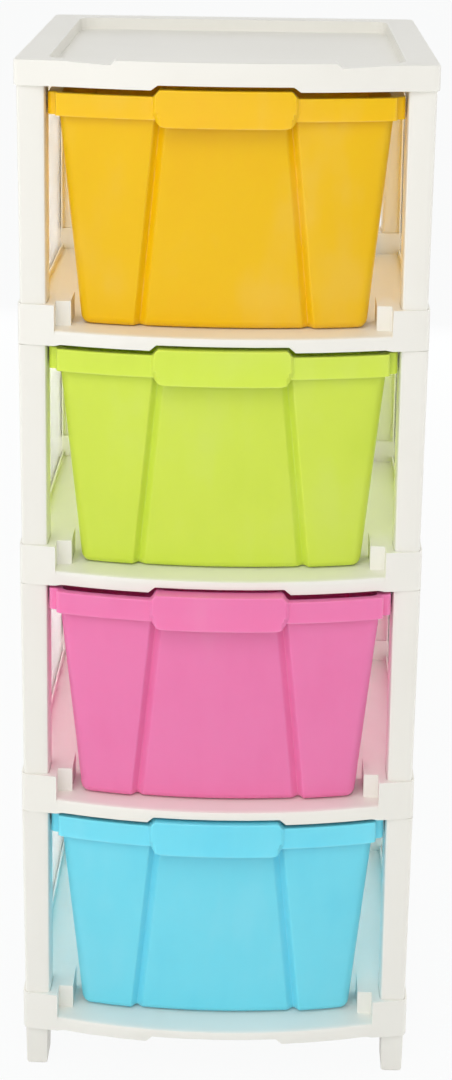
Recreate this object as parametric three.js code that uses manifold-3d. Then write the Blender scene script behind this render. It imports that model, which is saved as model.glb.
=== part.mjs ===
// Four-level plastic drawer unit: a stack of moulded shelves on hollow corner posts, with a tray-like
// top cover, side panels and four pull-out drawers. Millimetres, +Z up, the front faces -Y, and the
// origin is the middle of the footprint on the floor.

import * as THREE from "three";
import { mergeVertices } from "three/addons/utils/BufferGeometryUtils.js";
import Module from "manifold-3d";

const wasm = await Module();
wasm.setup();

// Whole unit
const levelCount = 4;
const levelPitch = 231; // from one shelf's seam to the next
const topLevelExtra = 7; // the top level is this much taller than the others
const coverWidth = 380;
const coverDepth = 400; // front corners to back
const frontBow = 25; // how far the middle of every front bulges past its corners
const bowRunOut = 12; // how far the bulge runs on over the corner blocks
const fitGap = 0.3; // clearance between pieces that seat on or in each other

// Top cover
const coverSkirt = 23.5; // height of the cover above its seam
const coverWall = 2.5;
const coverCornerRadius = 7;
const coverEdgeRound = 1.8;
const trayDepth = 12;
const traySideRim = 30;
const trayFrontRim = 12;
const trayBackRim = 30;
const trayCornerRadius = 16;
const lipHalfWidth = 97; // raised lip in the middle of the cover's front edge
const lipRise = 2;
const lipDip = 2.5; // how far the edge dips beside the lip
const lipSlope = 5;
const coverNotchRise = 4.5; // the cover's lower edge is cut back above the drawer's pull

// Shelves
const shelfInset = 2; // how far the shelves lie inside the cover's outline
const shelfWall = 2.5;
const floorHeight = 15; // top of the floor above the shelf's seam
const floorThickness = 3;
const ledgeRound = 5; // rounding of the front ledge
const apronRise = 1.5; // the apron's lower edge lies above the seam between the corner blocks
const notchHalfWidth = 66; // and is cut back above the drawer's pull
const notchRise = 5.3;
const notchSlope = 6;
const ribThickness = 2;
const ribDepth = 5;
const ribsAcross = 2;
const ribsAlong = 2;

// Corner blocks with their sockets, guide lugs, curbs and the rear stop
const blockWidth = 34;
const blockHeight = 38;
const blockWall = 2.1;
const blockFloor = 3;
const lugHeight = 38;
const lugSetback = 15;
const lugLength = 40;
const lugClearance = 7; // between a lug and the drawer's side
const curbWidth = 9;
const curbHeight = 6;
const grooveDepth = 4;
const stopThickness = 3;
const stopHeight = 16;

// Corner posts
const postWidth = 24; // across, at the foot
const postDepth = 34; // front to back, at the foot
const postWall = 1.8;
const postDraft = 2; // how much further out the two outer faces stand at the head
const postCornerRadius = 4;
const channelWall = 1.6;
const channelReach = 6;

// Pegs under the shelves and the cover; those of the base shelf are the feet
const pegLength = 41;
const pegTaper = 0.8;
const pegWall = 2.2;
const pegEndRound = 4;

// Side panels
const panelThickness = 2.4;
const panelInset = 4.6; // outer face behind the shelves' side
const panelTuck = 6; // how far the upper edge reaches into the skirt above

// Drawers
const drawerWall = 2.2;
const flangeClearance = 1.6; // between the rim's side flanges and the posts
const flangeStep = 7.5; // the front band ends this far inside the flanges
const bandReach = 3; // and this far outside the tub
const drawerSideDraft = 18.5; // how far each side slopes in towards the bottom
const drawerFrontDraft = 23; // how far the bottom of the front lies behind its top
const drawerBackDraft = 14;
const drawerEdgeRadius = 9;
const drawerFootRound = 7;
const rimHeight = 20.5;
const flangeSetback = 9;
const rimProud = 6; // front band in front of the tub
const rimBackReach = 9;
const rimRadius = 3.5;
const rimSetback = 1; // front band behind the apron
const rimClearance = 3; // below the seam of the shelf above
const topRimClearance = 6; // below the seam of the cover
const backClearance = 8;
const thirdDrawerPull = 9; // the third drawer stands open by this much
const panelRecess = 4; // middle panel of the front, behind the two side panels
const panelHalfTop = 60; // where the slanted bevels lie, at the top and at the bottom
const panelHalfBottom = 79;
const bevelWidth = 7;

// Pull in the middle of each drawer's rim
const pullHalf = 64;
const pullHeight = 31.5;
const pullProud = 5; // in front of the rim
const pullCornerRadius = 8;
const pullSideRound = 3.5;
const pullRise = 6.5; // its top above the rim's
const pullWall = 2.5;

// Places that follow from the sizes
const coverHalf = coverWidth / 2;
const shelfHalf = coverHalf - shelfInset;
const middleShift = (frontBow + pullProud + thirdDrawerPull - rimSetback - shelfInset) / 2;
const coverFront = middleShift - coverDepth / 2;
const coverBack = middleShift + coverDepth / 2;
const shelfFront = coverFront + shelfInset;
const shelfBack = coverBack - shelfInset;
const socketOuterX = shelfHalf - blockWall;
const postOuterX = socketOuterX - fitGap;
const postInnerX = postOuterX - postWidth;
const postStart = blockWall + fitGap; // from the shelf's face to the post's
const blockDepth = 2 * postStart + postDepth;
const blockInnerX = shelfHalf - blockWidth;
const postFoot = blockFloor + fitGap;
const panelOuterX = shelfHalf - panelInset;
const panelInnerX = panelOuterX - panelThickness;
const drawerFoot = floorHeight + fitGap;
const bowHalf = blockInnerX + bowRunOut;
const flangeHalf = postInnerX - flangeClearance;
const rimHalf = flangeHalf - flangeStep;
const drawerTopHalf = rimHalf - bandReach;
const drawerBottomHalf = drawerTopHalf - drawerSideDraft;
const rimFront = shelfFront + rimSetback;
const rimBack = shelfBack - backClearance;
const rimZone = rimFront + flangeSetback + drawerWall;
const far = 2 * (coverWidth + coverDepth); // longer than anything, for cutting tools
const over = 1; // how far a cutting tool runs past what it cuts
const bowSteps = 12; // flats along a bulging front

// How far the front bulges at x, measured forward from the corners
const bowAt = (x) => frontBow * Math.max(1 - (x / bowHalf) ** 2, 0);

// Heights that depend on the level: the seam above it and the top of its drawer's rim, measured
// from the seam below and from the drawer's own bottom
const upperSeam = (level) => levelPitch + (level === 1 ? topLevelExtra : 0);
const rimTopOf = (level) => upperSeam(level) - (level === 1 ? topRimClearance : rimClearance) - drawerFoot;

// Solids

function toManifold(geometry) {
  const plain = geometry.clone();
  plain.deleteAttribute("normal");
  plain.deleteAttribute("uv");
  const merged = mergeVertices(plain, 1e-4);
  return new wasm.Manifold(
    new wasm.Mesh({
      numProp: 3,
      vertProperties: new Float32Array(merged.attributes.position.array),
      triVerts: new Uint32Array(merged.index.array),
    }),
  );
}

// The solid as a mesh, with what lies in one plane joined into as few triangles as it takes
function toGeometry(solid) {
  const mesh = solid.asOriginal().simplify(1e-4).getMesh();
  const geometry = new THREE.BufferGeometry();
  geometry.setAttribute("position", new THREE.BufferAttribute(mesh.vertProperties, 3));
  geometry.setIndex(new THREE.BufferAttribute(mesh.triVerts, 1));
  geometry.computeVertexNormals();
  return geometry;
}

const union = (solids) => solids.reduce((whole, next) => whole.add(next));

// Mirror image of a solid drawn at the front left, for the right side, the back or both
function mirrored(solid, { right = false, back = false }) {
  const geometry = toGeometry(solid);
  geometry.scale(right ? -1 : 1, back ? -1 : 1, 1).translate(0, back ? 2 * middleShift : 0, 0);
  // One mirroring turns the faces inside out, so their corners are listed the other way round
  if (right !== back) geometry.index.array.reverse();
  return toManifold(geometry);
}

// A solid through a stack of closed outlines with equal point counts: { z, points }
function loft(rings) {
  const count = rings[0].points.length;
  const positions = rings.flatMap(({ z, points }) => points.flatMap((p) => [p.x, p.y, z]));
  const indices = [];
  for (let ring = 0; ring < rings.length - 1; ring += 1) {
    for (let i = 0; i < count; i += 1) {
      const a = ring * count + i;
      const b = ring * count + ((i + 1) % count);
      indices.push(a, b, b + count, a, b + count, a + count);
    }
  }
  const top = (rings.length - 1) * count;
  THREE.ShapeUtils.triangulateShape(rings[0].points, []).forEach(([a, b, c]) => indices.push(a, c, b));
  THREE.ShapeUtils.triangulateShape(rings.at(-1).points, []).forEach(([a, b, c]) =>
    indices.push(top + a, top + b, top + c),
  );
  const geometry = new THREE.BufferGeometry();
  geometry.setAttribute("position", new THREE.Float32BufferAttribute(positions, 3));
  geometry.setIndex(indices);
  return toManifold(geometry);
}

const prism = (points, z0, z1) => loft([{ z: z0, points }, { z: z1, points }]);

// A shape drawn in the front view (x to the right, z up), run from y0 back to y1
function frontPrism(points, y0, y1) {
  const geometry = new THREE.ExtrudeGeometry(new THREE.Shape(points), { depth: y1 - y0, bevelEnabled: false });
  return toManifold(geometry.rotateX(Math.PI / 2).translate(0, y1, 0));
}

// A shape drawn in the side view (y to the right, z up), run from x0 to x1
function sidePrism(points, x0, x1) {
  const geometry = new THREE.ExtrudeGeometry(new THREE.Shape(points), { depth: x1 - x0, bevelEnabled: false });
  return toManifold(geometry.rotateX(Math.PI / 2).rotateZ(Math.PI / 2).translate(x0, 0, 0));
}

function box(x0, x1, y0, y1, z0, z1) {
  const geometry = new THREE.BoxGeometry(x1 - x0, y1 - y0, z1 - z0);
  return toManifold(geometry.translate((x0 + x1) / 2, (y0 + y1) / 2, (z0 + z1) / 2));
}

// Outlines seen from above, all anticlockwise

function arc(cx, cy, radius, fromQuarter, steps = 3) {
  return Array.from({ length: steps + 1 }, (_, i) => {
    const angle = ((fromQuarter + i / steps) * Math.PI) / 2;
    return new THREE.Vector2(cx + radius * Math.cos(angle), cy + radius * Math.sin(angle));
  });
}

function rectangle(x0, x1, y0, y1, radius, steps = 2) {
  return [
    ...arc(x0 + radius, y1 - radius, radius, 1, steps),
    ...arc(x0 + radius, y0 + radius, radius, 2, steps),
    ...arc(x1 - radius, y0 + radius, radius, 3, steps),
    ...arc(x1 - radius, y1 - radius, radius, 0, steps),
  ];
}

// A rectangle whose front edge bulges; frontX lists where the front edge has points, and recess
// says how far back each of them lies
function bowed({ half, front, back, radius, inset = 0, steps = 2, frontX, recess = () => 0 }) {
  const h = half - inset;
  const r = Math.max(radius - inset, radius / 4);
  const y = (x) => front + inset - bowAt(x);
  const middle = (frontX ?? evenly(h - r, bowSteps)).map((x) => new THREE.Vector2(x, y(x) + recess(x)));
  return [
    ...arc(r - h, back - inset - r, r, 1, steps),
    ...arc(r - h, y(h - r) + r, r, 2, steps),
    ...middle,
    ...arc(h - r, y(h - r) + r, r, 3, steps),
    ...arc(h - r, back - inset - r, r, 0, steps),
  ];
}

// Points between -half and half, without the ends
const evenly = (half, steps) => Array.from({ length: steps - 1 }, (_, i) => half * ((2 * (i + 1)) / steps - 1));

const mirrorX = (points) => [...points, ...points.map(({ x, y }) => new THREE.Vector2(-x, y)).reverse()];

// Everything below the apron's lower edge: a little higher between the blocks than at the corners,
// and cut back above the drawer's pull
function belowApron(innerX, rise, notch) {
  const left = [
    new THREE.Vector2(-far, -far),
    new THREE.Vector2(-far, 0),
    new THREE.Vector2(-innerX, 0),
    new THREE.Vector2(notchSlope - innerX, rise),
    new THREE.Vector2(-notchHalfWidth, rise),
    new THREE.Vector2(notchSlope - notchHalfWidth, rise + notch),
  ];
  return mirrorX(left);
}

const trimApron = (solid, front, wall, rise, notch) =>
  solid.subtract(frontPrism(belowApron(blockInnerX, rise, notch), -far, front + wall));

// Corner posts and their pegs. One corner is drawn at the front left and mirrored to the others.

const postPlan = (draft, inset, z) => ({
  z,
  points: rectangle(
    -postOuterX - draft + inset,
    -postInnerX - inset,
    shelfFront + postStart - draft + inset,
    shelfFront + postStart + postDepth - inset,
    Math.max(postCornerRadius - inset, 1),
  ),
});

// How far the outer faces have moved out at height z
const draftAt = (z) => (postDraft * (z - postFoot)) / (levelPitch - fitGap - postFoot);

function post(head) {
  const tube = loft([postPlan(0, 0, postFoot), postPlan(postDraft, 0, head)]);
  const bore = loft([postPlan(0, postWall, postFoot - over), postPlan(postDraft, postWall, head + over)]);
  const face = shelfFront + postStart + postDepth;
  const channel = [
    [-panelOuterX - fitGap - channelWall, -panelOuterX - fitGap],
    [-panelInnerX + fitGap, -panelInnerX + fitGap + channelWall],
  ].map(([x0, x1]) => box(x0, x1, face - postWall, face + channelReach, blockHeight + fitGap, head));
  return union([tube.subtract(bore), ...channel]);
}

const pegPlan = (inset, z) => postPlan(postDraft, postWall + fitGap + inset, z);

function pegSolid(top) {
  return loft([
    pegPlan(pegEndRound * 0.6 + pegTaper, -pegLength),
    pegPlan(pegEndRound * 0.15 + pegTaper, pegEndRound * 0.4 - pegLength),
    pegPlan(pegTaper, pegEndRound - pegLength),
    pegPlan(0, top),
  ]);
}

const pegBore = (z0, z1) => loft([pegPlan(pegWall + pegTaper, z0), pegPlan(pegWall, z1)]);

// The same corner piece on all four corners
function onCorners(corner) {
  const left = corner.add(mirrored(corner, { back: true }));
  return left.add(mirrored(left, { right: true }));
}

// Stiffening ribs below a floor, between x and y limits
function ribs(halfX, y0, y1, z0, z1) {
  const half = ribThickness / 2;
  const along = Array.from({ length: ribsAlong }, (_, i) => {
    const x = halfX * ((2 * (i + 1)) / (ribsAlong + 1) - 1);
    return box(x - half, x + half, y0, y1, z0, z1);
  });
  const across = Array.from({ length: ribsAcross }, (_, i) => {
    const y = y0 + ((y1 - y0) * (i + 1)) / (ribsAcross + 1);
    return box(-halfX, halfX, y - half, y + half, z0, z1);
  });
  return union([...along, ...across]);
}

// Shelf

const shelfOutline = (inset = 0) =>
  bowed({ half: shelfHalf, front: shelfFront, back: shelfBack, radius: coverCornerRadius, inset });

// Half the width of a tub and the place of its back, at height z above its own bottom
const tubHeight = (rimTop) => rimTop - rimHeight;
const tubSide = (z) => drawerBottomHalf + (drawerSideDraft * z) / tubHeight(rimTopOf(levelCount));
const tubBack = (z) => rimBack - rimBackReach - drawerBackDraft * (1 - z / tubHeight(rimTopOf(levelCount)));

function shelf() {
  const slab = loft([
    { z: 0, points: shelfOutline() },
    { z: floorHeight - ledgeRound, points: shelfOutline() },
    { z: floorHeight - ledgeRound * 0.3, points: shelfOutline(ledgeRound * 0.3) },
    { z: floorHeight, points: shelfOutline(ledgeRound) },
  ]);
  const column = prism(shelfOutline(), 0, blockHeight);
  const corner = box(-shelfHalf, -blockInnerX, shelfFront - frontBow, shelfFront + blockDepth, 0, blockHeight);
  const blocks = onCorners(corner).intersect(column);

  const lugInnerX = tubSide(lugHeight - drawerFoot) + lugClearance;
  const lugFront = shelfFront + lugSetback;
  const lug = box(-blockInnerX - over, -lugInnerX, lugFront, lugFront + lugLength, floorHeight - over, lugHeight);
  const curbTop = floorHeight + curbHeight;
  const curb = box(-shelfHalf, curbWidth - shelfHalf, shelfFront, shelfBack, 0, curbTop);
  const curbs = curb.add(mirrored(curb, { right: true })).intersect(column);
  const stopFront = tubBack(stopHeight) + fitGap;
  const stopZ = floorHeight + stopHeight;
  const stop = box(-lugInnerX, lugInnerX, stopFront, stopFront + stopThickness, floorHeight - over, stopZ);
  const backEdge = box(-shelfHalf, shelfHalf, shelfBack - 2 * ledgeRound, shelfBack, 0, floorHeight);

  // Hollow underside between the skirts and round the corner blocks, with its ribs
  const under = floorHeight - floorThickness;
  const hollow = prism(shelfOutline(shelfWall), -over, under)
    .subtract(onCorners(corner))
    .subtract(ribs(blockInnerX, shelfFront - frontBow, shelfBack, under - ribDepth, floorHeight));

  const socketTop = blockHeight + over;
  const socket = loft([postPlan(0, -fitGap, blockFloor), postPlan(draftAt(socketTop), -fitGap, socketTop)]);
  const groove = box(
    -panelOuterX - fitGap,
    -panelInnerX + fitGap,
    shelfFront + blockDepth,
    shelfBack - blockDepth,
    curbTop - grooveDepth,
    curbTop + over,
  );
  const grooves = groove.add(mirrored(groove, { right: true }));

  const body = union([slab, blocks, onCorners(lug), curbs, stop, backEdge.intersect(column)]).subtract(hollow);
  return trimApron(body, shelfFront, shelfWall, apronRise, notchRise)
    .add(onCorners(pegSolid(blockFloor)))
    .subtract(onCorners(socket))
    .subtract(onCorners(pegBore(blockFloor - pegLength, blockFloor + over)))
    .subtract(grooves);
}

// Top cover

const coverOutline = (inset = 0) =>
  bowed({ half: coverHalf, front: coverFront, back: coverBack, radius: coverCornerRadius, inset });

// What is cut away above the front edge on the left: it dips from the corner towards the raised lip
const aboveDip = () =>
  frontPrism(
    [
      new THREE.Vector2(-blockInnerX, far),
      new THREE.Vector2(-blockInnerX, coverSkirt),
      new THREE.Vector2(-lipHalfWidth - lipSlope, coverSkirt - lipDip),
      new THREE.Vector2(-lipHalfWidth, coverSkirt + lipRise),
      new THREE.Vector2(-lipHalfWidth, far),
    ],
    -far,
    coverFront + trayFrontRim,
  );

function cover() {
  const shellTo = (top) =>
    loft([
      { z: 0, points: coverOutline() },
      { z: top - coverEdgeRound, points: coverOutline() },
      { z: top - coverEdgeRound * 0.3, points: coverOutline(coverEdgeRound * 0.3) },
      { z: top, points: coverOutline(coverEdgeRound) },
    ]);
  const trayX = coverHalf - traySideRim;
  const trayFront = coverFront + trayFrontRim;
  const trayBack = coverBack - trayBackRim;
  const tray = (grow) =>
    rectangle(-trayX - grow, trayX + grow, trayFront - grow, trayBack + grow, trayCornerRadius + grow, 4);
  const trayFloor = coverSkirt - trayDepth;
  const recess = prism(tray(0), trayFloor, far);
  const trayBox = prism(tray(coverWall), trayFloor - coverWall, far);

  const corner = box(-coverHalf, -blockInnerX, coverFront - frontBow, shelfFront + blockDepth, 0, coverSkirt);
  const ceiling = coverSkirt - coverWall;
  const frontCeiling = box(-far, far, -far, trayFront, ceiling - lipDip, far);
  const hollow = prism(coverOutline(coverWall), -over, ceiling)
    .subtract(trayBox)
    .subtract(frontCeiling)
    .subtract(onCorners(corner))
    .subtract(ribs(blockInnerX, coverFront - frontBow, coverBack, trayFloor - coverWall - ribDepth, ceiling));

  const lipX = lipHalfWidth + lipSlope;
  const lip = shellTo(coverSkirt + lipRise).intersect(box(-lipX, lipX, -far, trayFront, ceiling, far));
  const body = shellTo(coverSkirt)
    .add(lip)
    .subtract(hollow)
    .subtract(recess)
    .subtract(aboveDip())
    .subtract(mirrored(aboveDip(), { right: true }));
  return trimApron(body, coverFront, coverWall, 0, coverNotchRise)
    .add(onCorners(pegSolid(blockFloor)))
    .subtract(onCorners(pegBore(-pegLength - over, trayFloor - 2 * coverWall)));
}

// Side panel, drawn on the left: full height between the posts, narrower where it enters the
// groove below and the skirt above

function sidePanel(head) {
  const y0 = shelfFront + postStart + postDepth + fitGap;
  const n0 = shelfFront + blockDepth + fitGap;
  const bottom = floorHeight + curbHeight - grooveDepth + fitGap;
  const outline = [
    [n0, bottom],
    [n0, blockHeight + fitGap],
    [y0, blockHeight + fitGap],
    [y0, head],
    [n0, head],
    [n0, head + fitGap + panelTuck],
  ];
  const back = outline.map(([y, z]) => [2 * middleShift - y, z]).reverse();
  const points = [...outline, ...back].map(([y, z]) => new THREE.Vector2(y, z)).reverse();
  return sidePrism(points, -panelOuterX, -panelInnerX);
}

// Drawer, drawn from its own bottom up

function tubRing(rimTop, z, inset, level = z) {
  const share = Math.min(Math.max(z / tubHeight(rimTop), 0), 1);
  const panelHalf = panelHalfBottom + (panelHalfTop - panelHalfBottom) * share;
  const half = drawerBottomHalf + drawerSideDraft * share;
  const side = half - drawerEdgeRadius - 4;
  const inner = panelHalf - bevelWidth / 2;
  const outer = panelHalf + bevelWidth / 2;
  const right = [outer, (outer + side) / 2, side];
  const frontX = [...right.map((x) => -x).reverse(), -inner, ...evenly(inner, 6), inner, ...right];
  const points = bowed({
    half,
    front: rimFront + rimProud + drawerFrontDraft * (1 - share),
    back: rimBack - rimBackReach - drawerBackDraft * (1 - share),
    radius: drawerEdgeRadius,
    inset,
    steps: 3,
    frontX,
    recess: (x) => (Math.abs(x) <= inner ? panelRecess : 0),
  });
  return { z: level, points };
}

function tub(rimTop, wall) {
  const round = drawerFootRound - wall;
  const steps = 3;
  const foot = Array.from({ length: steps + 1 }, (_, i) => {
    const angle = (i / steps) * (Math.PI / 2);
    return tubRing(rimTop, wall + round * (1 - Math.cos(angle)), wall + round * (1 - Math.sin(angle)));
  });
  const rimFoot = tubHeight(rimTop);
  const head = rimTop + pullRise + (wall ? over : 0);
  return loft([...foot, tubRing(rimTop, rimFoot, wall), tubRing(rimTop, rimFoot, wall, head)]);
}

// Front band and side flanges of the rim, seen from above
function rimPrism(inset, z0, z1) {
  const flangeFront = rimFront - bowAt(rimHalf) + flangeSetback;
  const flange = rectangle(
    inset - flangeHalf,
    flangeHalf - inset,
    flangeFront + inset,
    rimBack - inset,
    rimRadius,
  );
  const band = bowed({
    half: rimHalf,
    front: rimFront,
    back: rimFront + 4 * flangeSetback,
    radius: rimRadius,
    inset,
  });
  return prism(flange, z0, z1).add(prism(band, z0, z1));
}

// Everything above the rim, and above the pull's top, which stands higher
function aboveRim(rimTop, drop) {
  const left = [
    new THREE.Vector2(-far, far),
    new THREE.Vector2(-far, rimTop - drop),
    new THREE.Vector2(-pullHalf, rimTop - drop),
    new THREE.Vector2(notchSlope - pullHalf, rimTop + pullRise - drop),
  ];
  const front = frontPrism(mirrorX(left), -far, rimZone);
  return front.add(box(-far, far, rimZone, far, rimTop - drop, far));
}

// The pull's block, shrunk by inset for the finger gap behind it
function pullBlock(inset, z0, z1) {
  const half = pullHalf - inset;
  const radius = pullCornerRadius - inset;
  const face = [
    ...arc(radius - half, z0 + radius, radius, 2, 4),
    ...arc(half - radius, z0 + radius, radius, 3, 4),
    new THREE.Vector2(half, z1),
    new THREE.Vector2(-half, z1),
  ];
  const plan = bowed({
    half: pullHalf,
    front: rimFront - pullProud,
    back: rimFront + rimProud + panelRecess + drawerFrontDraft,
    radius: pullSideRound,
    inset,
  });
  return frontPrism(face, -far, far).intersect(prism(plan, z0 - over, z1 + over));
}

function drawer(rimTop) {
  const outside = tub(rimTop, 0);
  const rimFoot = tubHeight(rimTop);
  const pullTop = rimTop + pullRise;
  const pullFoot = pullTop - pullHeight;
  const whole = union([outside, rimPrism(0, rimFoot, pullTop), pullBlock(0, pullFoot, pullTop)]);
  const underRim = rimPrism(drawerWall, rimFoot - over, pullTop).subtract(aboveRim(rimTop, drawerWall));
  const fingers = pullBlock(pullWall, pullFoot - pullCornerRadius - over, pullTop - pullWall);
  const hollow = underRim.add(fingers).subtract(outside);
  return whole.subtract(hollow).subtract(aboveRim(rimTop, 0)).subtract(tub(rimTop, drawerWall));
}

// Materials

const plastic = (color, roughness = 0.4) => new THREE.MeshStandardMaterial({ color, roughness, metalness: 0 });
const frameColor = "#eeebe2";
const drawerColors = ["#f2bd24", "#c4df4d", "#e778af", "#74cdee"]; // from the top down

// Assembly

const unit = new THREE.Group();

function place(name, geometry, z, material, parent = unit) {
  const mesh = new THREE.Mesh(geometry, material);
  mesh.name = name;
  mesh.position.z = z;
  parent.add(mesh);
  return mesh;
}

// The pieces whose height depends on the level's
function levelShapes(level) {
  const head = upperSeam(level) - fitGap;
  const oneSided = { post: post(head), panel: sidePanel(head) };
  return {
    posts: {
      front_left: toGeometry(oneSided.post),
      front_right: toGeometry(mirrored(oneSided.post, { right: true })),
      back_left: toGeometry(mirrored(oneSided.post, { back: true })),
      back_right: toGeometry(mirrored(oneSided.post, { right: true, back: true })),
    },
    panels: {
      left: toGeometry(oneSided.panel),
      right: toGeometry(mirrored(oneSided.panel, { right: true })),
    },
    drawer: toGeometry(drawer(rimTopOf(level))),
  };
}

const shelfShape = toGeometry(shelf());
const topShapes = levelShapes(1);
const otherShapes = levelShapes(2);

for (let level = 1; level <= levelCount; level += 1) {
  const group = new THREE.Group();
  group.position.z = pegLength + (levelCount - level) * levelPitch;
  unit.add(group);
  const shapes = level === 1 ? topShapes : otherShapes;
  place(level === levelCount ? "base_shelf" : `shelf_${level}`, shelfShape, 0, plastic(frameColor), group);
  for (const [side, geometry] of Object.entries(shapes.posts)) {
    place(`post_${level}_${side}`, geometry, 0, plastic(frameColor), group);
  }
  for (const [side, geometry] of Object.entries(shapes.panels)) {
    place(`side_panel_${level}_${side}`, geometry, 0, plastic(frameColor), group);
  }
  const color = drawerColors[(level - 1) % drawerColors.length];
  const pulledOut = level === 3 ? thirdDrawerPull : 0;
  place(`drawer_${level}`, shapes.drawer, drawerFoot, plastic(color, 0.3), group).position.y = -pulledOut;
}
place("top_cover", toGeometry(cover()), pegLength + levelCount * levelPitch + topLevelExtra, plastic(frameColor));

export default unit;
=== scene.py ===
# %% [markdown]
# # A four-level plastic drawer unit
#
# The real thing is a narrow tower of injection-moulded plastic: an off-white frame of shelves, hollow corner
# posts and thin side panels, a tray on top, and four drawers in yellow, green, pink and blue. The imported CAD
# model is loaded first. It carries every size and every joint, so all that is done here is to give each piece
# the roundings, the finish and the light that a plain solid lacks. All lengths are in metres.

# %% Load the imported model
import math

import bmesh
import bpy
from mathutils import Matrix, Vector


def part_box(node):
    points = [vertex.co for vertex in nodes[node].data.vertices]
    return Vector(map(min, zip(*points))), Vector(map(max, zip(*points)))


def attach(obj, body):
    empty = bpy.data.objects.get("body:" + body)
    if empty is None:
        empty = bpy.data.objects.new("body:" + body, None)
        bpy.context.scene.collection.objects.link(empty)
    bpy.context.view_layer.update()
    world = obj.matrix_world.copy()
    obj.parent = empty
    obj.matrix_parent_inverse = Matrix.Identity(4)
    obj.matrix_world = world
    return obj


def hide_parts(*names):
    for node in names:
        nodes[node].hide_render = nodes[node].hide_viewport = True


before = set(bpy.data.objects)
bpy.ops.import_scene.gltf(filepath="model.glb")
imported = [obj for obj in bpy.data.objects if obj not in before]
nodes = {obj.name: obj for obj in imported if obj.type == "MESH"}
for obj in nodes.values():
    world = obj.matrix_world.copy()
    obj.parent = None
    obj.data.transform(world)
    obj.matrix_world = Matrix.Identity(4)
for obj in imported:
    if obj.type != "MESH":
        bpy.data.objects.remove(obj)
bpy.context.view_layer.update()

# %% [markdown]
# ## The camera
#
# The photograph was taken from the front, from a little above the top tray. A lens far from the tower keeps
# its sides nearly upright. The tower could be framed by tilting the camera further, but then its sides would
# lean together, so the film is shifted down instead, as with a view camera.

# %% Place the camera
CAMERA_PLACE = (0.0348, -2.1185, 1.229)
CAMERA_YAW, CAMERA_PITCH, CAMERA_ROLL = (math.radians(a) for a in (0.97, 12.82, -0.75))
LENS_LENGTH, FILM_HEIGHT = 73.12, 36  # millimetres, as on the lens
FILM_SHIFT = -0.231  # share of the film's height

forward = Vector((-math.sin(CAMERA_YAW) * math.cos(CAMERA_PITCH),
                  math.cos(CAMERA_YAW) * math.cos(CAMERA_PITCH), -math.sin(CAMERA_PITCH)))
level_right = Vector((math.cos(CAMERA_YAW), math.sin(CAMERA_YAW), 0))
level_down = forward.cross(level_right)
right = level_right * math.cos(CAMERA_ROLL) + level_down * math.sin(CAMERA_ROLL)
down = level_down * math.cos(CAMERA_ROLL) - level_right * math.sin(CAMERA_ROLL)

lens = bpy.data.cameras.new("camera")
lens.sensor_fit = "VERTICAL"
lens.sensor_height = lens.sensor_width = FILM_HEIGHT
lens.lens = LENS_LENGTH
lens.shift_y = FILM_SHIFT
camera = bpy.data.objects.new("camera", lens)
camera.matrix_world = Matrix.Translation(CAMERA_PLACE) @ Matrix((right, -down, -forward)).transposed().to_4x4()
bpy.context.collection.objects.link(camera)
bpy.context.scene.camera = camera
print("camera at", CAMERA_PLACE, "with a", LENS_LENGTH, "mm lens")

# %% [markdown]
# ## The light
#
# Product photographs of pale plastic are lit by large soft lamps, so that edges stay readable without hard
# shadows. A wide lamp in front, a little to the left and as high as the tray, gives the fronts their
# brightness. A smaller one high in front of the tower lights the ledges and the tray. One on each side lights
# the side panels. One behind lets light through them, so that the space beside a drawer isn't dark. That last
# lamp isn't shown in gloss or through the sheets, where it would be a glaring patch.

# %% Hang the lamps
def softbox(name, place, target, width, height, power):
    lamp = bpy.data.lights.new(name, "AREA")
    lamp.shape, lamp.size, lamp.size_y = "RECTANGLE", width, height
    lamp.energy = power
    holder = bpy.data.objects.new(name, lamp)
    direction = Vector(target) - Vector(place)
    holder.matrix_world = Matrix.Translation(place) @ direction.to_track_quat("-Z", "Y").to_matrix().to_4x4()
    holder.visible_camera = False
    bpy.context.collection.objects.link(holder)
    return holder


softbox("front_softbox", place=(-0.7, -2.4, 1.2), target=(0, 0, 0.35), width=3.2, height=2.0, power=22)
softbox("top_softbox", place=(-0.35, -1.9, 2.75), target=(0, -0.1, 0.35), width=1.6, height=1.0, power=17)
softbox("left_softbox", place=(-2.6, 0.3, 0.6), target=(0, 0, 0.5), width=1.6, height=1.6, power=24)
softbox("right_softbox", place=(2.6, 0.3, 0.6), target=(0, 0, 0.5), width=1.6, height=1.6, power=26)
back_light = softbox("back_softbox", place=(0.3, 2.8, 1.0), target=(0, 0, 0.5), width=2.2, height=1.8, power=36)
back_light.visible_glossy = back_light.visible_transmission = False

# %% [markdown]
# ## The world and the floor
#
# A plain pale studio has no corners, so the floor runs on into the distance. The camera sees the world and the
# floor nearly white, which is a trick of the colour alone: for every ray that lights the tower the world is
# dimmer, and a little brighter overhead than at eye level. Under the glow that the camera sees, a small share
# of the floor's own shading is kept, so that the feet don't float.

# %% Helpers that build shader nodes
def link(tree, *pairs):
    for start, end in pairs:
        tree.links.new(start, end)


def feed(tree, socket, value):
    """Gives an input its value: another node's socket is linked, and a plain value is set."""
    if isinstance(value, bpy.types.NodeSocket):
        tree.links.new(value, socket)
    else:
        socket.default_value = value


def math_node(tree, operation, *values):
    node = tree.nodes.new("ShaderNodeMath")
    node.operation = operation
    for socket, value in zip(node.inputs, values):
        feed(tree, socket, value)
    return node.outputs[0]


def mix_color(tree, factor, first, second):
    mix = tree.nodes.new("ShaderNodeMix")
    mix.data_type = "RGBA"
    for socket, value in zip((mix.inputs[0], mix.inputs[6], mix.inputs[7]), (factor, first, second)):
        feed(tree, socket, value)
    return mix.outputs[2]


def grey(tone):
    return (tone, tone, tone, 1)


print("shader helpers ready")

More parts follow.
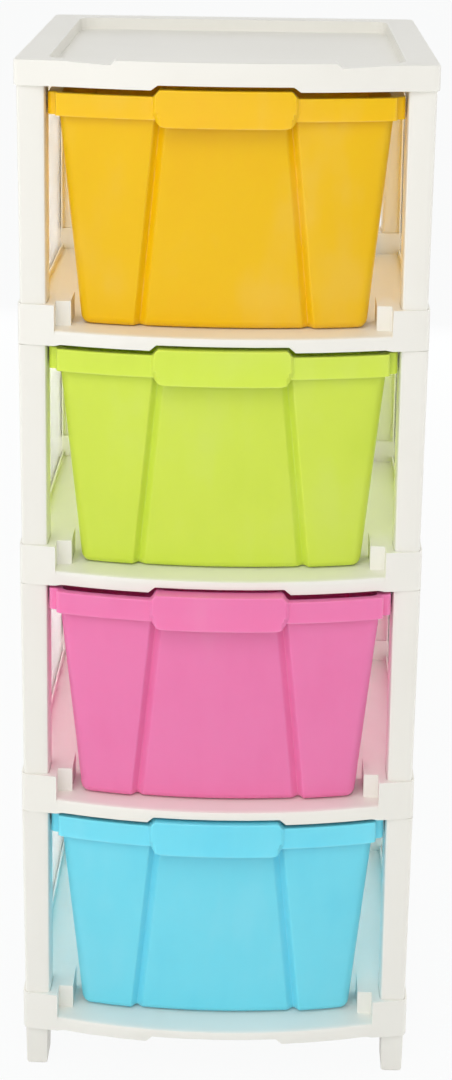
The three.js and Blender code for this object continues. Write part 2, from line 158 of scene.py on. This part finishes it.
# %% Colour the world and lay the floor
BACKGROUND = (0.975, 0.98, 0.98, 1)
LIGHT_OVERHEAD, LIGHT_LEVEL = grey(0.56), grey(0.43)
FLOOR_TONE, FLOOR_ROUGHNESS = grey(0.80), 0.9
FLOOR_GLOW_SHARE = 0.96
FLOOR_HALF = 30


def seen_directly(tree):
    """A socket that is 1 for rays that show the background: to the eye, in gloss or through glass."""
    path = tree.nodes.new("ShaderNodeLightPath")
    eye_or_gloss = math_node(tree, "MAXIMUM", path.outputs["Is Camera Ray"], path.outputs["Is Glossy Ray"])
    return math_node(tree, "MAXIMUM", eye_or_gloss, path.outputs["Is Transmission Ray"])


def world_light(tree):
    """Light by height, from straight up to eye level and below."""
    direction = tree.nodes.new("ShaderNodeTexCoord")
    parts = tree.nodes.new("ShaderNodeSeparateXYZ")
    ramp = tree.nodes.new("ShaderNodeMapRange")
    ramp.inputs["From Min"].default_value, ramp.inputs["From Max"].default_value = 1.0, 0.0
    link(tree, (direction.outputs["Generated"], parts.inputs[0]), (parts.outputs["Z"], ramp.inputs["Value"]))
    return mix_color(tree, ramp.outputs[0], LIGHT_OVERHEAD, LIGHT_LEVEL)


world = bpy.data.worlds.new("studio")
bpy.context.scene.world = world
world.use_nodes = True
tree = world.node_tree
backdrop = tree.nodes["Background"]
link(tree, (mix_color(tree, seen_directly(tree), world_light(tree), BACKGROUND), backdrop.inputs["Color"]))

floor_finish = bpy.data.materials.new("pale_floor")
floor_finish.use_nodes = True
tree = floor_finish.node_tree
surface = tree.nodes["Principled BSDF"]
surface.inputs["Roughness"].default_value = FLOOR_ROUGHNESS
surface.inputs["Specular IOR Level"].default_value = 0.0
surface.inputs["Base Color"].default_value = FLOOR_TONE
glow = tree.nodes.new("ShaderNodeEmission")
glow.inputs["Color"].default_value = BACKGROUND
blend = tree.nodes.new("ShaderNodeMixShader")
shown = math_node(tree, "MULTIPLY", seen_directly(tree), FLOOR_GLOW_SHARE)
link(tree, (shown, blend.inputs[0]), (surface.outputs[0], blend.inputs[1]), (glow.outputs[0], blend.inputs[2]),
     (blend.outputs[0], tree.nodes["Material Output"].inputs["Surface"]))

floor_mesh = bpy.data.meshes.new("studio_floor")
bm = bmesh.new()
bmesh.ops.create_grid(bm, x_segments=1, y_segments=1, size=FLOOR_HALF)
bm.to_mesh(floor_mesh)
bm.free()
floor_mesh.materials.append(floor_finish)
studio_floor = bpy.data.objects.new("studio_floor", floor_mesh)
bpy.context.collection.objects.link(studio_floor)
bpy.context.scene.view_settings.view_transform = "Standard"
print("floor laid, world set")

# %% [markdown]
# ## What moulded plastic looks like
#
# Three things make a colour read as moulded plastic. The mould's steel was spark eroded, which leaves a fine
# even grain on the skin. The melt cooled unevenly, so the tone and the gloss drift a little over a hand's
# breadth. And edges that hands and clothes rub against turn a touch paler and duller. Each is a node group,
# because every finish on the tower uses all three.

# %% Helpers for the node groups
def shader_group(name, inputs, outputs):
    group = bpy.data.node_groups.new(name, "ShaderNodeTree")
    for label, kind, value in inputs:
        socket = group.interface.new_socket(label, in_out="INPUT", socket_type=kind)
        socket.default_value = value
    for label, kind in outputs:
        group.interface.new_socket(label, in_out="OUTPUT", socket_type=kind)
    return group, group.nodes.new("NodeGroupInput").outputs, group.nodes.new("NodeGroupOutput").inputs


def noise(tree, scale, detail, vector=None):
    """A noise texture, laid on the object's own coordinates unless told otherwise."""
    texture = tree.nodes.new("ShaderNodeTexNoise")
    texture.inputs["Detail"].default_value = detail
    feed(tree, texture.inputs["Scale"], scale)
    if vector is None:
        vector = tree.nodes.new("ShaderNodeTexCoord").outputs["Object"]
    tree.links.new(vector, texture.inputs["Vector"])
    return texture.outputs["Fac"]


def between(tree, value, low, high, to_low=0.0, to_high=1.0):
    """A smooth step from low to high, given as to_low to to_high."""
    ramp = tree.nodes.new("ShaderNodeMapRange")
    ramp.interpolation_type = "SMOOTHSTEP"
    tree.links.new(value, ramp.inputs["Value"])
    for label, number in (("From Min", low), ("From Max", high), ("To Min", to_low), ("To Max", to_high)):
        ramp.inputs[label].default_value = number
    return ramp.outputs[0]


print("group helpers ready")

# %% [markdown]
# ### Grain
#
# The fine grain is too small to see as dots from a step away, but it breaks up the gloss. Under it lies a long
# shallow waviness, which comes from the plastic shrinking as it cools.

# %% Make the mould's grain
GRAIN_SHARE = 0.25

mould_grain, given, result = shader_group(
    "mould grain",
    [("Grain Scale", "NodeSocketFloat", 2400.0), ("Ripple Scale", "NodeSocketFloat", 22.0)],
    [("Height", "NodeSocketFloat")])
fine = math_node(mould_grain, "MULTIPLY", noise(mould_grain, given["Grain Scale"], detail=3.0), GRAIN_SHARE)
ripple = noise(mould_grain, given["Ripple Scale"], detail=1.0)
link(mould_grain, (math_node(mould_grain, "ADD", fine, ripple), result["Height"]))
print("made", mould_grain.name)

# %% [markdown]
# ### Tone
#
# Clouds and faint upright flow marks from the melt are added up. Where the sum is high the colour leans to a
# paler tone, and where it is low to a deeper one. The sum is handed on as well, since the gloss follows it.

# %% Make the drifting tone
CLOUD_SCALE, FLOW_SCALE, FLOW_STRETCH = 9.0, 42.0, (1.0, 1.0, 0.22)
CLOUD_SHARE, FLOW_SHARE = 0.7, 0.3
MIDDLE_TONE, PALEST, DEEPEST = 0.5, 0.68, 0.32

tone_drift, given, result = shader_group(
    "tone drift",
    [("Color", "NodeSocketColor", grey(0.8)), ("Pale", "NodeSocketColor", grey(0.9)),
     ("Deep", "NodeSocketColor", grey(0.7)), ("Amount", "NodeSocketFloat", 0.5)],
    [("Color", "NodeSocketColor"), ("Cloud", "NodeSocketFloat")])
position = tone_drift.nodes.new("ShaderNodeTexCoord")
stretch = tone_drift.nodes.new("ShaderNodeMapping")
stretch.inputs["Scale"].default_value = FLOW_STRETCH
link(tone_drift, (position.outputs["Object"], stretch.inputs["Vector"]))
cloud = noise(tone_drift, CLOUD_SCALE, detail=3.0)
flow = noise(tone_drift, FLOW_SCALE, detail=2.0, vector=stretch.outputs[0])
patchy = math_node(tone_drift, "ADD", math_node(tone_drift, "MULTIPLY", cloud, CLOUD_SHARE),
                   math_node(tone_drift, "MULTIPLY", flow, FLOW_SHARE))
paler = math_node(tone_drift, "MULTIPLY", between(tone_drift, patchy, MIDDLE_TONE, PALEST), given["Amount"])
deeper = math_node(tone_drift, "MULTIPLY", between(tone_drift, patchy, MIDDLE_TONE, DEEPEST), given["Amount"])
drifted = mix_color(tone_drift, paler, given["Color"], given["Pale"])
link(tone_drift, (mix_color(tone_drift, deeper, drifted, given["Deep"]), result["Color"]),
     (patchy, result["Cloud"]))
print("made", tone_drift.name)

# %% [markdown]
# ### Rubbed edges
#
# An edge is found where the surface, softened over a small radius, turns away from its own direction. Wear is
# never even, so the mask is broken up into patches.

# %% Make the rubbed edges
EDGE_STARTS, EDGE_FULL = 0.01, 0.16
PATCH_STARTS, PATCH_FULL = 0.35, 0.62

rubbed_edges, given, result = shader_group(
    "rubbed edges",
    [("Radius", "NodeSocketFloat", 0.0015), ("Patchiness", "NodeSocketFloat", 60.0)],
    [("Mask", "NodeSocketFloat")])
softened = rubbed_edges.nodes.new("ShaderNodeBevel")
softened.samples = 4
own = rubbed_edges.nodes.new("ShaderNodeNewGeometry")
turn = rubbed_edges.nodes.new("ShaderNodeVectorMath")
turn.operation = "DOT_PRODUCT"
link(rubbed_edges, (given["Radius"], softened.inputs["Radius"]), (softened.outputs[0], turn.inputs[0]),
     (own.outputs["Normal"], turn.inputs[1]))
turned_away = math_node(rubbed_edges, "SUBTRACT", 1.0, turn.outputs["Value"])
edge = between(rubbed_edges, turned_away, EDGE_STARTS, EDGE_FULL)
patches = between(rubbed_edges, noise(rubbed_edges, given["Patchiness"], detail=2.0), PATCH_STARTS, PATCH_FULL)
link(rubbed_edges, (math_node(rubbed_edges, "MULTIPLY", edge, patches), result["Mask"]))
print("made", rubbed_edges.name)

# %% [markdown]
# ## The finishes
#
# The frame is a satin off-white. The side panels are thin milky sheets: light comes through them, but what lies
# behind shows only as a soft tint, and with hardly any sheen they throw no mirror image. The drawers are a
# slightly glossier plastic in four colours, and a little light enters it, which softens the shading in the
# grooves as thin moulded plastic does. A finish is one Principled shader: the drifting tone with the rubbed
# edges mixed over it gives the colour, the same masks push the roughness up and down, and the grain drives a
# very low bump.

# %% Mix a finish
PALE_SHARE, WORN_SHARE = 0.10, 0.45  # how far the paler tone and the worn edges lean to white
TONE_DRIFT = 0.35
CLOUD_LOW, CLOUD_HIGH = 0.35, 0.65
GLOSSIER, DULLER, WORN_DULLER = 0.05, 0.06, 0.25  # change of roughness
GRAIN_STRENGTH, GRAIN_DEPTH = 0.06, 0.002
GLOW_DEPTH = 0.005


def whitened(color, share):
    return (*(c + (1 - c) * share for c in color[:3]), 1)


def linear(red, green, blue):
    """The shader's linear colour for a screen colour given from 0 to 255."""
    values = (v / 255 for v in (red, green, blue))
    return (*(v / 12.92 if v <= 0.04045 else ((v + 0.055) / 1.055) ** 2.4 for v in values), 1)


def add_group(tree, group, **values):
    node = tree.nodes.new("ShaderNodeGroup")
    node.node_tree = group
    for label, value in values.items():
        node.inputs[label].default_value = value
    return node


def moulded_plastic(name, screen_color, screen_deep, roughness, wear, sheen, ior=1.49, see_through=0.0, glow=0.0):
    finish = bpy.data.materials.new(name)
    finish.use_nodes = True
    tree = finish.node_tree
    skin = tree.nodes["Principled BSDF"]
    color = linear(*screen_color)

    tone = add_group(tree, tone_drift, Color=color, Pale=whitened(color, PALE_SHARE),
                     Deep=linear(*screen_deep), Amount=TONE_DRIFT)
    worn = math_node(tree, "MULTIPLY", add_group(tree, rubbed_edges).outputs["Mask"], wear)
    seen = mix_color(tree, worn, tone.outputs["Color"], whitened(color, WORN_SHARE))
    uneven = between(tree, tone.outputs["Cloud"], CLOUD_LOW, CLOUD_HIGH, roughness - GLOSSIER, roughness + DULLER)
    dulled = math_node(tree, "ADD", uneven, math_node(tree, "MULTIPLY", worn, WORN_DULLER))
    bump = tree.nodes.new("ShaderNodeBump")
    bump.inputs["Strength"].default_value = GRAIN_STRENGTH
    bump.inputs["Distance"].default_value = GRAIN_DEPTH
    link(tree, (seen, skin.inputs["Base Color"]), (dulled, skin.inputs["Roughness"]),
         (add_group(tree, mould_grain).outputs["Height"], bump.inputs["Height"]),
         (bump.outputs[0], skin.inputs["Normal"]))

    skin.inputs["IOR"].default_value = ior
    skin.inputs["Specular IOR Level"].default_value = sheen
    skin.inputs["Transmission Weight"].default_value = see_through
    if glow:
        skin.inputs["Subsurface Weight"].default_value = glow
        skin.inputs["Subsurface Radius"].default_value = (1, 1, 1)
        skin.inputs["Subsurface Scale"].default_value = GLOW_DEPTH
    return finish


print("finish mixer ready")

# %% Make the six finishes
LEVELS = (1, 2, 3, 4)
DRAWER_COLORS = {  # level: name, screen colour, the deeper tone it drifts to
    1: ("yellow", (250, 195, 8), (248, 185, 8)),
    2: ("green", (213, 235, 82), (203, 228, 68)),
    3: ("pink", (248, 129, 182), (241, 117, 172)),
    4: ("blue", (122, 227, 253), (106, 218, 249)),
}

frame_plastic = moulded_plastic("satin_off_white", (240, 238, 230), (235, 232, 223), roughness=0.4, wear=0.35,
                                sheen=0.42)
panel_plastic = moulded_plastic("thin_off_white_sheet", (254, 253, 251), (250, 249, 246), roughness=0.5, wear=0.2,
                                sheen=0.1, ior=1.08, see_through=0.95)
drawer_plastics = {
    level: moulded_plastic(f"gloss_{name}", color, deep, roughness=0.33, wear=0.30, sheen=0.3, glow=0.42)
    for level, (name, color, deep) in DRAWER_COLORS.items()}
print("finishes:", [m.name for m in bpy.data.materials])

# %% [markdown]
# ## From a bmesh to a finished piece
#
# Each new piece ends the same way. Doubles and slivers go, the faces are shaded smooth apart from the edges
# that really are sharp, and a Weighted Normal modifier keeps wide flats flat right up to their rounded edges.
# Then the piece is hung on the body it rides on, and the CAD node it stands for is hidden.

# %% Finish a piece
MM = 0.001
SHARP = math.radians(38)
DOUBLES, SLIVERS = 0.004 * MM, 0.002 * MM
pieces_made = []


def finish_piece(bm, name, finish, body, node):
    bmesh.ops.remove_doubles(bm, verts=bm.verts, dist=DOUBLES)
    bmesh.ops.dissolve_degenerate(bm, edges=bm.edges, dist=SLIVERS)
    for face in bm.faces:
        face.smooth = True
    for e in bm.edges:
        e.smooth = len(e.link_faces) == 2 and e.calc_face_angle(math.pi) < SHARP
    open_edges = sum(1 for e in bm.edges if len(e.link_faces) != 2)
    mesh = bpy.data.meshes.new(name)
    bm.to_mesh(mesh)
    bm.free()
    mesh.materials.append(finish)
    piece = bpy.data.objects.new(name, mesh)
    bpy.context.collection.objects.link(piece)
    flats = piece.modifiers.new("flats stay flat", "WEIGHTED_NORMAL")
    flats.keep_sharp = True
    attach(piece, body)
    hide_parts(node)
    pieces_made.append(name)
    print(f"{name}: {len(mesh.polygons)} faces, {open_edges} open edges")


# %% [markdown]
# ## The frame
#
# Posts, panels, shelves and cover keep the exact shape of their CAD solids, which already have the sockets,
# pegs, ribs and notches. What a solid lacks is the small rounding that every moulded edge has, and which
# catches the light. So the solid is copied, its loose triangles are merged, faces in one plane are joined
# again, and every edge that turns by more than a little is bevelled.

# %% Copy a CAD solid and round its edges
COPY_DOUBLES, COPY_FLAT, LEAST_TURN = 0.01 * MM, math.radians(0.5), math.radians(25)
MOULDING_ROUND, THIN_ROUND = 0.7 * MM, 0.5 * MM


def bevel(bm, edges, radius, segments, clamp=False):
    bmesh.ops.bevel(bm, geom=edges, offset=radius, offset_type="OFFSET", affect="EDGES", segments=segments,
                    profile=0.5, material=-1, clamp_overlap=clamp)


def rounded_copy(node, radius):
    bm = bmesh.new()
    bm.from_mesh(nodes[node].data)
    bmesh.ops.remove_doubles(bm, verts=bm.verts, dist=COPY_DOUBLES)
    bmesh.ops.dissolve_limit(bm, angle_limit=COPY_FLAT, verts=bm.verts, edges=bm.edges)
    turned = [e for e in bm.edges if len(e.link_faces) == 2 and e.calc_face_angle(0) > LEAST_TURN]
    bevel(bm, turned, radius, segments=2, clamp=True)
    return bm


for node in ("top_cover", "shelf_1", "shelf_2", "shelf_3", "base_shelf"):
    finish_piece(rounded_copy(node, MOULDING_ROUND), f"{node}_moulding", frame_plastic, "frame", node)
for level in LEVELS:
    for end in ("front", "back"):
        for side in ("left", "right"):
            node = f"post_{level}_{end}_{side}"
            finish_piece(rounded_copy(node, THIN_ROUND), f"{node}_tube", frame_plastic, "frame", node)
    for side in ("left", "right"):
        node = f"side_panel_{level}_{side}"
        finish_piece(rounded_copy(node, THIN_ROUND), f"{node}_sheet", panel_plastic, "frame", node)

# %% [markdown]
# ## The drawers
#
# A real drawer is one moulding with the same wall everywhere: a tub, a rim that turns out and down like the rim
# of a bucket, and a pull that bulges out of the rim and is open below for the fingers. The front is bowed, and
# its middle panel lies a few millimetres back between two grooves that slant apart towards the foot. Drawing
# the bowed shape directly would be hard. Instead the moulding is built straight, from rounded blocks that are
# hollowed and joined, then cut into upright columns, and only then is every corner moved: back for the panel,
# out and up for the pull, and forward for the bow.
#
# The main sizes are those of the CAD drawer. HALF means measured sideways from the middle, FRONT and BACK are
# places along y, and heights count from the drawer's foot.

# %% Sizes of a drawer
TUB_HALF, TUB_FOOT_HALF = 149.5 * MM, 131 * MM
TUB_FRONT, TUB_BACK = -173 * MM, 199 * MM
FRONT_SLOPE, BACK_SLOPE = 23 * MM, 14 * MM
TUB_ROUND = 8 * MM
DRAWER_WALL = 2.2 * MM
RIM_HALF, FLANGE_HALF = 152.5 * MM, 160 * MM
RIM_FRONT, FLANGE_FRONT, RIM_BACK = -179 * MM, -171 * MM, 208 * MM
RIM_HEIGHT, RIM_ROUND, RIM_EDGE_ROUND = 20.5 * MM, 3.5 * MM, 1.4 * MM
RIM_TOP = {1: 216.7 * MM, 2: 212.7 * MM, 3: 212.7 * MM, 4: 212.7 * MM}
TINY = 0.01 * MM
print("a drawer is", round(2000 * FLANGE_HALF), "mm wide and", round(1000 * (RIM_BACK - RIM_FRONT)), "mm long")

# %% [markdown]
# ### Blocks, walls and cuts
#
# A few helpers stand for the steps of a mould maker: square off a block, round its edges, join two blocks or
# cut one out of the other, and give a skin its wall. A plane cut leaves the shape as it is and only adds a
# line of corners, which later can be moved.

# %% Helpers for straight blocks
def block(low, high, round_upright=0.0, segments=4):
    """A box between two corners, with its four upright edges rounded."""
    bm = bmesh.new()
    bmesh.ops.create_cube(bm, size=1)
    low, high = Vector(low), Vector(high)
    bmesh.ops.scale(bm, vec=high - low, verts=bm.verts)
    bmesh.ops.translate(bm, vec=(low + high) / 2, verts=bm.verts)
    if round_upright:
        upright = [e for e in bm.edges if abs(e.verts[0].co.z - e.verts[1].co.z) > TINY]
        bevel(bm, upright, round_upright, segments)
    return bm


def delete_faces(bm, faces):
    bmesh.ops.delete(bm, geom=faces, context="FACES")


def add_wall(bm):
    """Gives an open skin the drawer's wall, inwards."""
    bmesh.ops.recalc_face_normals(bm, faces=bm.faces)
    bmesh.ops.solidify(bm, geom=bm.faces[:], thickness=DRAWER_WALL)
    bmesh.ops.recalc_face_normals(bm, faces=bm.faces)


def combine(base, tool, operation):
    """Joins two closed solids, or cuts the second out of the first, with a Boolean modifier."""
    holders = []
    for bm in (base, tool):
        mesh = bpy.data.meshes.new("temporary")
        bm.to_mesh(mesh)
        bm.free()
        holders.append(bpy.data.objects.new("temporary", mesh))
        bpy.context.collection.objects.link(holders[-1])
    joint = holders[0].modifiers.new("combine", "BOOLEAN")
    joint.operation, joint.solver, joint.object = operation, "EXACT", holders[1]
    result = bmesh.new()
    result.from_object(holders[0], bpy.context.evaluated_depsgraph_get())
    for holder in holders:
        mesh = holder.data
        bpy.data.objects.remove(holder)
        bpy.data.meshes.remove(mesh)
    return result


def cut(bm, place, direction, faces=None):
    """Cuts the mesh, or some of its faces, along a plane without opening it."""
    faces = bm.faces[:] if faces is None else faces
    # Not sets, whose order would differ from run to run
    edges = dict.fromkeys(e for f in faces for e in f.edges)
    verts = dict.fromkeys(v for f in faces for v in f.verts)
    bmesh.ops.bisect_plane(bm, geom=[*verts, *edges, *faces], plane_co=place, plane_no=direction, dist=TINY)


print("block helpers ready")

# %% [markdown]
# ### The tub
#
# A box whose foot is squeezed in on all sides, with its upright edges and its foot rounded. Its top is taken
# off, and the skin gets its wall. Real tubs slope like this so that they slip off the mould and stack in the
# factory.

# %% Model the tub
TUB_LEAST_TURN = math.radians(50)


def tub(rim_top):
    rim_foot = rim_top - RIM_HEIGHT
    bm = block((-TUB_HALF, TUB_FRONT, 0), (TUB_HALF, TUB_BACK, rim_top))
    cut(bm, (0, 0, rim_foot), (0, 0, 1))
    for v in bm.verts:
        if v.co.z < TINY:
            v.co.x *= TUB_FOOT_HALF / TUB_HALF
            v.co.y += FRONT_SLOPE if v.co.y < 0 else -BACK_SLOPE
    turned = [e for e in bm.edges if e.calc_face_angle() > TUB_LEAST_TURN and
              min(v.co.z for v in e.verts) < rim_top - TINY]
    bevel(bm, turned, TUB_ROUND, segments=5)
    delete_faces(bm, [f for f in bm.faces if all(v.co.z > rim_top - TINY for v in f.verts)])
    add_wall(bm)
    return bm


print("tub defined")

# %% [markdown]
# ### The rim
#
# Seen from above the rim is a wide frame whose front band is a little narrower than the flanges at the sides.
# The two rounded blocks are joined, the underside is taken off, the upper edge is rounded, and a wall is
# given inwards. A block the size of the tub then opens the middle.

# %% Model the rim
RIM_FLAT = math.radians(1)


def rim(rim_top):
    rim_foot = rim_top - RIM_HEIGHT
    flange = block((-FLANGE_HALF, FLANGE_FRONT, rim_foot), (FLANGE_HALF, RIM_BACK, rim_top), RIM_ROUND)
    band = block((-RIM_HALF, RIM_FRONT, rim_foot), (RIM_HALF, 0, rim_top), RIM_ROUND)
    bm = combine(flange, band, "UNION")
    bmesh.ops.dissolve_limit(bm, angle_limit=RIM_FLAT, verts=bm.verts, edges=bm.edges)
    delete_faces(bm, [f for f in bm.faces if all(v.co.z < rim_foot + TINY for v in f.verts)])
    upper = [e for e in bm.edges if len(e.link_faces) == 2 and all(v.co.z > rim_top - TINY for v in e.verts)]
    bevel(bm, upper, RIM_EDGE_ROUND, segments=3)
    add_wall(bm)
    half_wall = DRAWER_WALL / 2
    opening = block((half_wall - TUB_HALF, TUB_FRONT + half_wall, rim_foot - RIM_HEIGHT),
                    (TUB_HALF - half_wall, TUB_BACK - half_wall, rim_top + RIM_HEIGHT),
                    TUB_ROUND - half_wall, segments=5)
    return combine(bm, opening, "DIFFERENCE")


print("rim defined")

# %% [markdown]
# ### Columns for the panel
#
# The middle panel meets the sides in a groove. Seen in section it falls gently from the panel, is deepest just
# inside the boundary, and rises more steeply to the side. The columns of the tub fan out with the grooves, so
# no groove crosses a column, and they stand close together where the section turns.

# %% Fan out the columns and set the groove's depth
PANEL_BACK, PANEL_HALF, PANEL_FOOT_HALF = 2.5 * MM, 60 * MM, 79 * MM
GROOVE_DEEP, GROOVE_TURN = 4.5 * MM, 0.4 * MM
GROOVE_INNER, GROOVE_LINE, GROOVE_OUTER = -8.5 * MM, -1.5 * MM, 5 * MM  # from the panel's boundary outwards
GROOVE_COLUMNS = (-8.5, -7.2, -6, -4.8, -3.6, -2.4, -1.5, -0.6, 0.6, 1.8, 2.9, 4, 5)  # the same, millimetres
PANEL_PARTS, SIDE_PARTS = 5, 7


def ease(value, start, end):
    """0 before start, 1 after end, and a smooth S between them."""
    share = min(max((value - start) / (end - start), 0), 1)
    return share * share * (3 - 2 * share)


def groove_depth(x):
    """How far the surface lies back, x being measured outwards from the boundary of the middle panel."""
    if x > GROOVE_LINE:
        return (PANEL_BACK + GROOVE_DEEP) * ease(-x, -GROOVE_OUTER, GROOVE_TURN - GROOVE_LINE)
    return PANEL_BACK + GROOVE_DEEP * ease(x, GROOVE_INNER, GROOVE_LINE + GROOVE_TURN)


def fan_columns():
    """Pairs of x: where a column crosses the rim's foot, and where it meets the drawer's foot."""
    inner, outer = PANEL_HALF + GROOVE_INNER, PANEL_HALF + GROOVE_OUTER
    pairs = []
    for i in range(PANEL_PARTS):
        x = inner * i / PANEL_PARTS
        pairs.append((x, x * (PANEL_FOOT_HALF + GROOVE_INNER) / inner))
    for column in GROOVE_COLUMNS:
        x = PANEL_HALF + column * MM
        pairs.append((x, x + PANEL_FOOT_HALF - PANEL_HALF))
    for i in range(1, SIDE_PARTS):
        x = outer + (TUB_HALF - outer) * i / SIDE_PARTS
        share = (x - PANEL_HALF) / (TUB_HALF - PANEL_HALF)
        pairs.append((x, PANEL_FOOT_HALF + share * (TUB_FOOT_HALF - PANEL_FOOT_HALF)))
    return pairs


print(len(fan_columns()), "columns on each side of the middle")

# %% [markdown]
# ### Pull and bow
#
# Around the pull the rim's front band gets a few upright columns of its own, close together where the pull's
# ends are rounded, and two level lines. The pull stands out from the band, rises above the rim and hangs a
# little below it, with round lower corners. The bow comes last, so everything before it is plain and straight.

# %% Shape the front
PULL_HALF, PULL_OUT, PULL_UP, PULL_DOWN = 65 * MM, 5 * MM, 6.5 * MM, 6 * MM
PULL_COLUMNS = (49, 52, 55, 57, 58.5, 60, 61, 62, 63, 64, 65, 66.5)  # millimetres from the middle
PULL_LINES = (3, 7)  # millimetres above the rim's foot
PULL_END_ROUND = 3.5 * MM
PULL_NARROWS, PULL_NARROWS_BELOW = 4 * MM, 9 * MM  # each end, and the height over the rim's foot
PULL_CORNER_STARTS, PULL_CORNER = 51 * MM, 11 * MM  # the round lower corners
CREST_DEPTH, CREST_HALF = 2.4 * MM, 57.5 * MM  # what rises with the pull, and where it has risen fully
BAND_DEPTH = 5 * MM
FRONT_ENDS = -0.1  # nothing behind this y belongs to the front
BOW, BOW_HALF = 25 * MM, 166 * MM


def bow(x):
    """How far the front stands forward at x."""
    return BOW * max(1 - (x / BOW_HALF) ** 2, 0)


def rim_front_faces(bm, rim_foot):
    return [f for f in bm.faces
            if f.calc_center_median().z > rim_foot - TINY and f.calc_center_median().y < FRONT_ENDS]


def cut_columns(bm, rim_foot):
    for top, foot in fan_columns():
        for side in ((-1, 1) if top else (1,)):
            cut(bm, (side * top, 0, rim_foot), (rim_foot, 0, side * (foot - top)))
    for x in PULL_COLUMNS:
        for side in (-1, 1):
            cut(bm, (side * x * MM, 0, 0), (1, 0, 0), rim_front_faces(bm, rim_foot))
    for z in PULL_LINES:
        cut(bm, (0, 0, rim_foot + z * MM), (0, 0, 1), rim_front_faces(bm, rim_foot))


def shape_front(bm, rim_top):
    rim_foot = rim_top - RIM_HEIGHT
    cut_columns(bm, rim_foot)
    for v in bm.verts:
        x, y, z = abs(v.co.x), v.co.y, v.co.z
        if y > FRONT_ENDS:
            continue
        if y > RIM_FRONT + BAND_DEPTH:
            groove = PANEL_HALF + (PANEL_FOOT_HALF - PANEL_HALF) * (1 - z / rim_foot)
            v.co.y += groove_depth(x - groove)
        else:
            end = PULL_HALF - PULL_NARROWS * ease(-z, -rim_foot - PULL_NARROWS_BELOW, -rim_foot) ** 2
            v.co.y -= PULL_OUT * ease(-x, -end, PULL_END_ROUND - end)
            if z < rim_foot + TINY:
                v.co.z -= PULL_DOWN * math.sqrt(max(1 - max((x - PULL_CORNER_STARTS) / PULL_CORNER, 0) ** 2, 0))
        if z > rim_top - CREST_DEPTH:
            v.co.z += PULL_UP * ease(-x, -PULL_HALF, -CREST_HALF)
    for v in bm.verts:
        if v.co.y < 0:
            v.co.y -= bow(v.co.x)


print("the front bulges by", round(1000 * BOW), "mm")

# %% [markdown]
# ### Four drawers
#
# Every level takes the same drawer in another colour. Only the top one is a little taller, as its level is.
# Each is set where its CAD solid stands, which leaves the third about a centimetre open.

# %% Build the drawers
for level in LEVELS:
    node = f"drawer_{level}"
    low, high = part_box(node)
    drawer = combine(tub(RIM_TOP[level]), rim(RIM_TOP[level]), "UNION")
    shape_front(drawer, RIM_TOP[level])
    bmesh.ops.translate(drawer, vec=(0, high.y - RIM_BACK, low.z), verts=drawer.verts)
    finish_piece(drawer, f"{node}_moulding", drawer_plastics[level], node, node)

# %% Count the pieces made
print(len(pieces_made), "pieces made")
